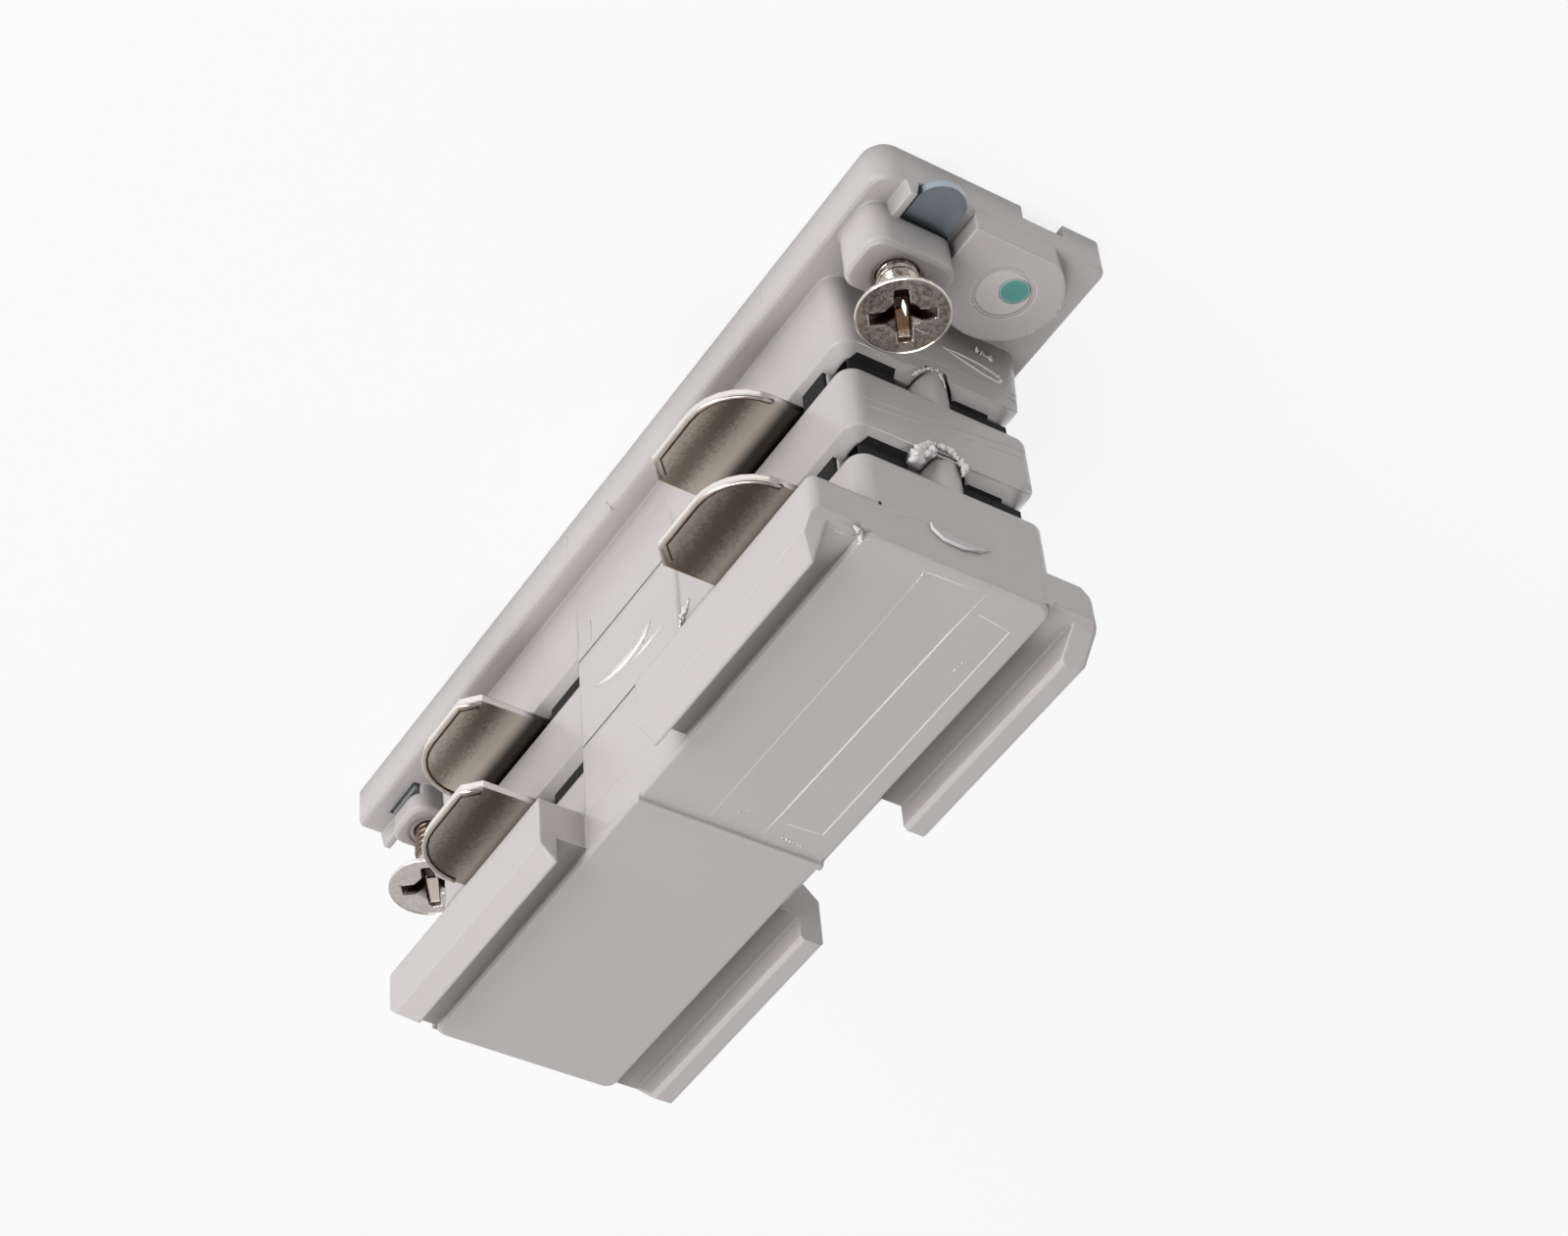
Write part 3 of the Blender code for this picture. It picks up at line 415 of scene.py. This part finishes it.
ragged(bm, [(-31.5, -1.7, 12.0), (-31.55, -1.1, 11.3), (-31.55, -0.1, 10.4), (-31.55, 0.8, 10.3),
            (-31.5, 1.2, 11.3)], 0.11, 0.13, 11)
ragged(bm, [(-31.5, 1.1, 10.3), (-31.5, 1.25, 11.2), (-31.5, 1.3, 11.9)], 0.07, 0.12, 12)
add_piece("peg_burr", bm, flash_and_highlight)

# Crescent of flash on the end of the front housing.
bm = bmesh.new()
outer = [(-2.3, 28.7), (-2.2, 29.3), (-1.3, 29.95), (0.4, 30.05), (2.1, 29.6), (3.5, 28.6)]
inner = [(-2.2, 28.65), (-1.2, 28.45), (-0.3, 28.3), (1.1, 28.5), (2.6, 28.75), (3.4, 28.55)]
rows = []
STEPS_ALONG, STEPS_ACROSS = 30, 8
spans = len(outer) - 1
for i in range(STEPS_ALONG + 1):
    t = i / STEPS_ALONG * spans
    k = min(int(t), spans - 1)
    far_side = Vector(outer[k]).lerp(Vector(outer[k + 1]), t - k)
    near_side = Vector(inner[k]).lerp(Vector(inner[k + 1]), t - k)
    row = []
    for j in range(STEPS_ACROSS + 1):
        w = j / STEPS_ACROSS
        y, z = near_side.lerp(far_side, w)
        bulge = 0.34 * math.sin(math.pi * i / STEPS_ALONG) ** 0.5 * (w ** 1.5 if w < 0.9 else 0.0)
        bulge *= 1.0 + 0.35 * noise.noise(Vector((y * 2.5, z * 4.0, 3.0)))
        row.append(bm.verts.new(Vector((-31.45 - bulge, y, z)) * MM))
    rows.append(row)
for a, b in zip(rows, rows[1:]):
    for j in range(STEPS_ACROSS):
        bm.faces.new((a[j], a[j + 1], b[j + 1], b[j]))
back = bmesh.ops.extrude_face_region(bm, geom=bm.faces[:])["geom"]
for v in back:
    if isinstance(v, bmesh.types.BMVert):
        v.co.x = -31.2 * MM
add_piece("crescent_flash", bm, fine_grey)
# A near-white lip along the crescent's upper edge is a painted highlight.
bm = bmesh.new()
ridge(bm, [(-31.75, y, z - 0.05) for y, z in outer[:-1]], (-1, 0, 0), 0.16, 0.06, 0.2)
add_piece("crescent_lip", bm, flash_and_highlight)
# A small near-black ball is painted shade for the inside of a pin hole.
bm = bmesh.new()
pin = Matrix.Translation(Vector((-31.48, -6.6, 28.66)) * MM)
bmesh.ops.create_icosphere(bm, subdivisions=2, radius=0.16 * MM, matrix=pin)
add_piece("pin_hole", bm, painted_shade_metal)

# Knit lines on the ends of the decks, and the scar of the mould gate.
bm = bmesh.new()
for points, width in ((((-6.6, 18.1), (-2.0, 17.5), (3.0, 16.9), (7.9, 16.3)), 0.16),
                      (((-6.9, 17.3), (0.0, 16.5), (8.2, 15.4)), 0.12),
                      (((1.0, 9.9), (8.3, 9.6)), 0.12), (((-2.4, 9.4), (2.0, 9.1), (8.4, 8.9)), 0.14),
                      (((-7.2, 29.2), (-4.0, 28.7), (-2.2, 28.7)), 0.14)):
    ridge(bm, on_end(points), (-1, 0, 0), width, 0.014, crown=0.8)
for points in (((-6.4, 20.35), (0.0, 20.35), (7.9, 20.3)), ((-6.6, 10.95), (-2.2, 10.95)),
               ((1.9, 10.95), (8.2, 10.9))):
    ridge(bm, on_end(points), (-1, 0, 0), 0.22, 0.05)
add_piece("knit_lines", bm, pale)
bm = bmesh.new()
scar = ((1.7, 6.9), (3.4, 6.85), (5.2, 7.0), (6.6, 7.4), (7.2, 7.9), (6.9, 8.25), (5.6, 8.1), (3.9, 7.6),
        (1.9, 7.0))
ridge(bm, on_end(scar), (-1, 0, 0), 0.26, 0.07)
ragged(bm, on_end(((6.5, 7.5), (7.1, 7.95), (6.7, 8.2)), 0.05), 0.10, 0.2, 31, 1.8)
ragged(bm, on_end(((3.0, 7.3), (5.4, 7.95))), 0.06, 0.35, 32, 2.6)
add_piece("gate_scar", bm, flash_and_highlight)

# Shade inside the slots between the decks, where the contact strips lie.
bm = bmesh.new()
for joint in (LOWER_JOINT, UPPER_JOINT):
    z0, z1 = joint + 0.05, joint + 1.9
    for y0, y1 in ((-7.0, -2.7), (2.0, 7.6)):
        for side in (-1, 1):
            box(bm, (side * 30.4 - 0.1, y0, z0), (side * 30.4 + 0.1, y1, z1))
    for x0, x1, y in ((-28.4, -25.6, -7.6), (24.7, 27.6, -7.6), (8.7, 13.2, -7.2)):
        box(bm, (x0, y - 0.3, z0), (x1, y + 0.3, z1))
# Dark skins on the lead-in in front of the near chambers stand in for their depth.
for joint in (LOWER_JOINT, UPPER_JOINT):
    for y0, y1, drop in ((-6.9, -2.8, 0.52), (2.2, 5.9, 0.24)):
        lip_x, lip_z = -30.47 - drop, joint - drop
        corners = [(lip_x, y0 + 0.5, lip_z), (lip_x, y1 - 0.1, lip_z), (-30.42, y1, joint + 0.05),
                   (-30.42, y0, joint + 0.05)]
        skin = ring_of(bm, corners)
        under = ring_of(bm, [(x + 0.1, y, z - 0.12) for x, y, z in corners])
        bm.faces.new(skin)
        bm.faces.new(list(reversed(under)))
        bridge(bm, skin, under)
add_piece("slot_shade", bm, black, smooth=False)

# Weld seam that closes the two joints of the neck.
bm = bmesh.new()
for joint in (LOWER_JOINT, UPPER_JOINT):
    for side in (-1, 1):
        ends = [(x, side * 8.2, joint + 0.125) for x in (-7.45, 7.45)]
        ridge(bm, ends, (0, side, 0), 0.24, 0.13, 0.8)
add_piece("neck_weld_seam", bm, fine_grey)

# Torn flash and scratches on the side of the neck; the flash's white is partly a painted highlight.
bm = bmesh.new()
torn = ((-3.6, 16.9), (-2.6, 17.75), (-1.2, 18.1), (0.6, 18.15), (2.6, 17.75), (4.9, 16.8))
for points, width, height in ((torn, 0.55, 0.16), (((-1.0, 17.55), (0.8, 17.75), (2.8, 17.2)), 0.32, 0.12),
                              (((-5.4, 18.9), (-2.8, 18.95), (-0.3, 18.85)), 0.34, 0.12)):
    ridge(bm, on_neck(points), (0, -1, 0), width, height)
ragged(bm, on_neck(((-2.4, 17.9), (0.2, 18.1), (2.0, 17.9)), 0.05), 0.12, 0.35, 41, 2.6)
ragged(bm, [(-8.7, -8.1, 19.1), (-7.8, -8.4, 20.3), (-7.6, -8.4, 21.3)], 0.17, 0.18, 43, 1.6)
add_piece("neck_flash", bm, flash_and_highlight)
bm = bmesh.new()
ridge(bm, on_neck(((7.15, 8.6), (7.15, 10.6))), (0, -1, 0), 0.12, 0.04)
ridge(bm, on_neck(((5.15, 9.1), (5.15, 11.5))), (0, -1, 0), 0.12, 0.04)
add_piece("neck_marks", bm, fine_grey)

# Thin raised frames on the lettering face, which is otherwise left bare. Their near-white colour is a
# painted highlight along the relief; the specks are flash.
bm = bmesh.new()
for points in (((-30.4, -2.3), (-0.9, -2.3)), ((-30.6, 2.9), (-26.0, 2.7), (-4.7, 2.5), (-1.0, 2.4)),
               ((-30.4, -2.3), (-30.6, 2.9)), ((-28.6, 3.6), (-28.2, 6.6), (-3.0, 6.6), (-2.8, 3.4))):
    ridge(bm, on_face(points), (0, 0, 1), 0.20, 0.016, crown=0.85)
for points, radius, spacing, seed, stretch in (
        (((-30.6, -2.6), (-30.0, -2.4), (-28.6, -2.3)), 0.09, 0.2, 61, 2.2),
        (((-27.0, 2.7), (-24.0, 2.65)), 0.07, 0.5, 62, 2.2),
        (((-24.6, 5.6), (-23.6, 5.2), (-22.2, 5.3)), 0.07, 0.35, 63, 2.2),
        (((-1.4, 3.8), (-1.1, 6.0)), 0.12, 0.35, 64, 1.6),
        (((-3.0, 0.4), (-2.2, -0.9)), 0.08, 0.45, 65, 1.6)):
    ragged(bm, on_face(points), radius, spacing, seed, stretch)
add_piece("label_frames", bm, flash_and_highlight)

# Flash, whose white is partly a painted highlight, and a soft arc at the end of the groove behind the near
# rail.
bm = bmesh.new()
ridge(bm, [(-31.3, -9.1, 32.1), (-31.2, -8.5, 32.3), (-30.7, -8.1, 32.4), (-29.9, -8.0, 32.3)],
      (0, 0, 1), 0.5, 0.28)
ragged(bm, [(-31.2, -8.7, 32.5), (-30.9, -8.2, 32.6), (-30.2, -8.0, 32.6)], 0.14, 0.2, 71, 1.6)
add_piece("groove_end_flash", bm, flash_and_highlight)
bm = bmesh.new()
ridge(bm, [(-31.45, -8.3, 32.0), (-31.45, -8.8, 32.9), (-31.4, -9.7, 33.4), (-31.35, -10.8, 33.5)],
      (-1, 0, 0), 0.22, 0.06)
add_piece("groove_end_arc", bm, fine_grey)

# Short mould marks on the long side of the plate.
bm = bmesh.new()
plate_y = min(v.co.y for v in nodes["back_housing"].data.vertices) / MM
for x in (4.6, -25.3):
    ridge(bm, [(x, plate_y, 0.9), (x, plate_y, 2.2)], (0, -1, 0), 0.22, 0.05)
ridge(bm, [(7.8, plate_y, 0.8), (8.6, plate_y, 1.9)], (0, -1, 0), 0.14, 0.04)
ridge(bm, [(-2.5, -11.2, 3.66), (-1.9, -10.2, 3.66)], (0, 0, 1), 0.16, 0.04)
add_piece("plate_marks", bm, fine_grey)

# Scuffs beside the near plug, at the foot of the lower deck and on its end.
bm = bmesh.new()
ragged(bm, [(-32.0, 2.3, 3.74), (-31.8, 4.4, 3.74), (-31.9, 6.0, 3.74)], 0.10, 0.2, 81, 3.0)
ragged(bm, [(-31.6, 5.0, 5.4), (-31.55, 6.6, 5.9)], 0.11, 0.2, 82, 2.6)
add_piece("ramp_scuffs", bm, flash_and_highlight)

# Faint lips that close the clearance round the plug and round the shanks.
bm = bmesh.new()
for side in (-1, 1):
    annulus(bm, (side * ROUND_BOSS[0], ROUND_BOSS[1]), 2.24, 2.52, ROUND_BOSS_TOP, 0.6)
annulus(bm, (-SCREW_X, SCREW_Y), 1.76, 1.98, 8.2, 0.6)
annulus(bm, (SCREW_X, SCREW_Y), 1.5, 1.98, 6.46, 0.6)
add_piece("clearance_lips", bm, fine_grey, smooth=False)
# Specks of flash round the near round boss, whose white is partly a painted glint.
bm = bmesh.new()
ragged(bm, [(x, y, ROUND_BOSS_TOP) for x, y in ((-35.9, 8.0), (-34.9, 7.4))], 0.07, 0.3, 51, 2.0)
ragged(bm, [(x, y, ROUND_BOSS_TOP) for x, y in ((-38.6, 8.15), (-37.3, 8.25), (-36.3, 8.1))],
       0.07, 0.35, 52, 2.4)
ragged(bm, [(-35.4, 2.1, 5.58), (-35.9, 1.6, 5.58)], 0.06, 0.2, 53, 2.0)
add_piece("boss_flash", bm, flash_and_highlight)


def thread(bm, centre, z0, z1, radius, depth, pitch, count=20):
    """Helical thread ridge in mm."""
    loops = []
    for i in range(int((z1 - z0) / pitch) * count + 1):
        a = 2 * math.pi * i / count
        z = z0 + pitch * i / count
        profile = ((radius - 0.1, z - pitch * 0.42), (radius + depth, z), (radius - 0.1, z + pitch * 0.42))
        loops.append(ring_of(bm, [(centre[0] + r * math.cos(a), centre[1] + r * math.sin(a), h)
                                  for r, h in profile]))
    skin_over(bm, loops)


def tube(bm, points, radius, sides=8):
    """Round bead in mm along a line of points."""
    pts = [Vector(p) for p in points]
    loops = []
    for i, p in enumerate(pts):
        step = (pts[min(i + 1, len(pts) - 1)] - pts[max(i - 1, 0)]).normalized()
        a = step.cross(Vector((0, 0, 1))).normalized()
        b = step.cross(a)
        turns = [2 * math.pi * k / sides for k in range(sides)]
        loops.append(ring_of(bm, [p + (a * math.cos(t) + b * math.sin(t)) * radius for t in turns]))
    skin_over(bm, loops)


def recess_depth(u, v):
    """Depth in mm of the cross recess at a point measured along its arms."""
    depth = 0.0
    for along, across in ((abs(u), abs(v)), (abs(v), abs(u))):
        half = 0.66 - 0.05 * along
        if along < ARM_REACH and across < half:
            wall = min(1.0, (half - across) / 0.1, (ARM_REACH - along) / 0.1)
            depth = max(depth, wall * (0.35 + 0.62 * (ARM_REACH - along)))
    depth = max(depth, (2.0 - abs(u) - abs(v)) * 0.85)
    return min(depth, RECESS_FLOOR)


def screw(name, node, mat, shank_mat, body, x, shank, sparkle):
    """Screw as seen: speckled head with a wide cross recess, cone, narrow neck and threaded shank."""
    c, s = math.cos(RECESS_TURN), math.sin(RECESS_TURN)
    axis = (x, SCREW_Y)

    def on_head(u, v, drop=0.0):
        """Point in mm below the head's face, from its place along the arms of the recess."""
        return Vector((x + u * c - v * s, SCREW_Y + u * s + v * c, SCREW_TOP - drop))

    bm = bmesh.new()
    rings = []
    for k in range(1, HEAD_RINGS + 1):
        face = circle((0, 0), FACE_RADIUS * k / HEAD_RINGS, SCREW_TOP, HEAD_POINTS)
        rings.append(ring_of(bm, [(x + px, SCREW_Y + py, z - recess_depth(px * c + py * s, -px * s + py * c))
                                  for px, py, z in face]))
    for radius, drop in ((3.65, 0.1), (3.65, 0.25), (1.25, 2.6), (1.2, 2.9)):
        rings.append(ring_of(bm, circle(axis, radius, SCREW_TOP - drop, HEAD_POINTS)))
    middle = bm.verts.new(on_head(0, 0, RECESS_FLOOR) * MM)
    for a, b in zip(rings[0], rings[0][1:] + rings[0][:1]):
        bm.faces.new((middle, a, b))
    for a, b in zip(rings, rings[1:]):
        bridge(bm, a, b)
    bm.faces.new(list(reversed(rings[-1])))
    obj = add_piece(name, bm, mat, body, smooth=False)
    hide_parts(node)

    bm = bmesh.new()
    thread(bm, axis, 1.9, SCREW_TOP - 3.3, shank, 0.26, 0.6)
    profile = ((1.1, SCREW_TOP - 2.7), (1.1, SCREW_TOP - 3.2), (shank, SCREW_TOP - 3.5), (shank, 1.7),
               (shank * 0.6, 0.6))
    skin_over(bm, [ring_of(bm, circle(axis, radius, z, 40)) for radius, z in profile])
    add_piece(name + "_shank", bm, shank_mat, body)

    # Rim and recess edges in a lighter copy of the metal, a painted highlight.
    bm = bmesh.new()
    rim = circle(axis, 3.57, SCREW_TOP - 0.03, 72)
    tube(bm, rim + rim[:1], 0.10)
    for a, b in (((1.35, 0.66), (2.6, 0.6)), ((1.4, -0.66), (2.6, -0.6)), ((-0.66, 1.3), (-0.58, 2.0)),
                 ((0.66, 1.35), (0.72, 2.65)), ((-0.5, 2.6), (0.5, 2.6)), ((0.66, -1.4), (0.6, -2.5)),
                 ((-0.6, -2.6), (0.6, -2.6)), ((-1.4, 0.66), (-2.5, 0.6)), ((1.2, 0.8), (1.9, 1.6))):
        tube(bm, [on_head(*a), on_head(*b)], 0.10, 6)
    if sparkle:
        # Flank inside the recess, on a slope of its own, in the lighter metal as a painted reflection.
        tilt = Vector((-0.20, -0.40, 0.90))
        corners = []
        for u, v in ((-0.75, 0.12), (-0.25, 0.30), (0.45, 0.22), (-0.25, -0.02)):
            corner = on_head(u, v, 0.75)
            corner.z -= (tilt.x * (corner.x - x) + tilt.y * (corner.y - SCREW_Y)) / tilt.z
            corners.append(corner)
        skin_over(bm, [ring_of(bm, corners), ring_of(bm, [p - Vector((0, 0, 0.5)) for p in corners])])
    add_piece(name + "_bright_edges", bm, bright, body, smooth=False)


screw("near_screw_seen", "near_clamp_screw", near_nickel, near_nickel, "near_screw", -SCREW_X, 1.5, True)
screw("far_screw_seen", "far_clamp_screw", far_nickel, shaded_shank, "far_screw", SCREW_X, 1.15, False)


def upper_edges(obj, beyond):
    """Chains of world points in mm along the upper outer edge of a flat strip, past a given |y|."""
    bm = bmesh.new()
    bm.from_mesh(obj.data)
    bmesh.ops.remove_doubles(bm, verts=bm.verts, dist=0.001 * MM)
    bm.transform(obj.matrix_world)
    bm.normal_update()
    near = {}
    for e in bm.edges:
        if len(e.link_faces) != 2 or any(abs(v.co.y) < beyond * MM for v in e.verts):
            continue
        lift = sorted(f.normal.z for f in e.link_faces)
        if lift[1] > 0.8 and abs(lift[0]) < 0.5:
            for v, w in (tuple(e.verts), tuple(reversed(e.verts))):
                near.setdefault(v.index, []).append(w.index)
    bm.verts.ensure_lookup_table()
    spot = [v.co.copy() / MM for v in bm.verts]
    bm.free()
    chains = []
    while near:
        start = min(near, key=lambda i: (len(near[i]), i))
        chain = [start]
        while True:
            steps = [w for w in near.pop(chain[-1]) if w in near]
            if not steps:
                break
            chain.append(steps[0])
        if len(chain) > 2:
            chains.append([spot[i] for i in chain])
    return chains


# Pale rims along the tongues' upper outer edges paint the highlight those edges catch, and thin near-black
# lines just inside them paint shade.
bm = bmesh.new()
dark_bm = bmesh.new()
for name in ("phase_conductor_1", "phase_conductor_2", "phase_conductor_3", "neutral_conductor"):
    for chain in upper_edges(nodes[name], TONGUE_ROOT):
        mean_x = sum(p.x for p in chain) / len(chain)
        middle = Vector((mean_x, math.copysign(TONGUE_MIDDLE, chain[0].y), chain[0].z))
        tube(bm, [p.lerp(middle, 0.02) for p in chain], 0.20)
        tube(dark_bm, [p.lerp(middle, 0.10) for p in chain], 0.08)
add_piece("tongue_rims", bm, rim_metal)
add_piece("tongue_dark_lines", dark_bm, painted_shade_metal)

# Camera fitted to the photograph.
cam = bpy.data.cameras.new("camera")
cam_obj = bpy.data.objects.new("camera", cam)
bpy.context.scene.collection.objects.link(cam_obj)
cam.sensor_fit = "HORIZONTAL"
cam.sensor_width = 36.0
cam.lens = 80.71
cam.shift_x = -0.03315
cam.shift_y = 0.00087
cam.clip_start = 0.005
cam.clip_end = 20.0
right = Vector((-0.543854, 0.834959, 0.084057))
up = Vector((-0.622454, -0.334190, -0.707721))
back = Vector((-0.562827, -0.437218, 0.701474))
place = Matrix((right, up, back)).transposed().to_4x4()
place.translation = Vector((-0.166397, -0.116579, 0.211010))
cam_obj.matrix_world = place
bpy.context.scene.camera = cam_obj


def area_light(name, position, size, power):
    """Square lamp in metres and watts that faces the part."""
    light = bpy.data.lights.new(name, "AREA")
    light.shape = "SQUARE"
    light.size = size
    light.energy = power
    obj = bpy.data.objects.new(name, light)
    bpy.context.scene.collection.objects.link(obj)
    obj.location = position
    obj.rotation_euler = (Vector(position) - LIT_POINT).to_track_quat("Z", "Y").to_euler()


LIT_POINT = Vector((0, 0, 0.015))
area_light("left_soft", (-0.16, -0.8, 0.22), 0.42, 3.3)
area_light("top_soft", (-0.05, -0.20, 0.8), 0.4, 2.2)
# Two small lamps that only pick out the rounded edges facing the camera.
area_light("edge_glint_end", (-0.55, 0.34, 0.45), 0.07, 0.22)
area_light("edge_glint_side", (0.46, -0.56, 0.36), 0.06, 0.10)

# Plain pale floor, just under the part.
bpy.ops.mesh.primitive_plane_add(size=6.0, location=(0, 0, -0.0001))
floor = bpy.context.object
floor.name = "floor"
floor_mat, graph, shader = new_material("floor_white")
shader.inputs["Base Color"].default_value = (0.92, 0.92, 0.92, 1)
shader.inputs["Roughness"].default_value = 0.9
# The camera, reflections and refraction see it nearly white. The rest of the mix is the lit floor, with the
# object's shadow.
WHITE_SHARE = 0.85
path = graph.add("LightPath").outputs
seen = graph.maths("MAXIMUM", path["Is Camera Ray"], path["Is Transmission Ray"])
seen = graph.maths("MAXIMUM", seen, path["Is Glossy Ray"])
glow = graph.add("Emission")
glow.inputs["Color"].default_value = (1, 1, 1, 1)
mixed = graph.add("MixShader")
graph.feed(mixed.inputs[0], graph.maths("MULTIPLY", seen, WHITE_SHARE))
graph.feed(mixed.inputs[1], shader.outputs[0])
graph.feed(mixed.inputs[2], glow.outputs[0])
graph.feed(floor_mat.node_tree.nodes["Material Output"].inputs["Surface"], mixed.outputs[0])
floor.data.materials.append(floor_mat)

# White surroundings that grow brighter along X, as a soft studio does beside its main lamp.
world = bpy.data.worlds.new("world")
bpy.context.scene.world = world
world.use_nodes = True
sky = Graph(world.node_tree)
background = world.node_tree.nodes["Background"]
background.inputs["Color"].default_value = (1, 1, 1, 1)
direction = sky.axes(sky.add("TexCoord").outputs["Generated"])
sky.feed(background.inputs["Strength"], sky.ramp(direction["X"], -1.0, 0.6, 0.10, 0.50, smooth=True))

bpy.context.scene.view_settings.view_transform = "Standard"
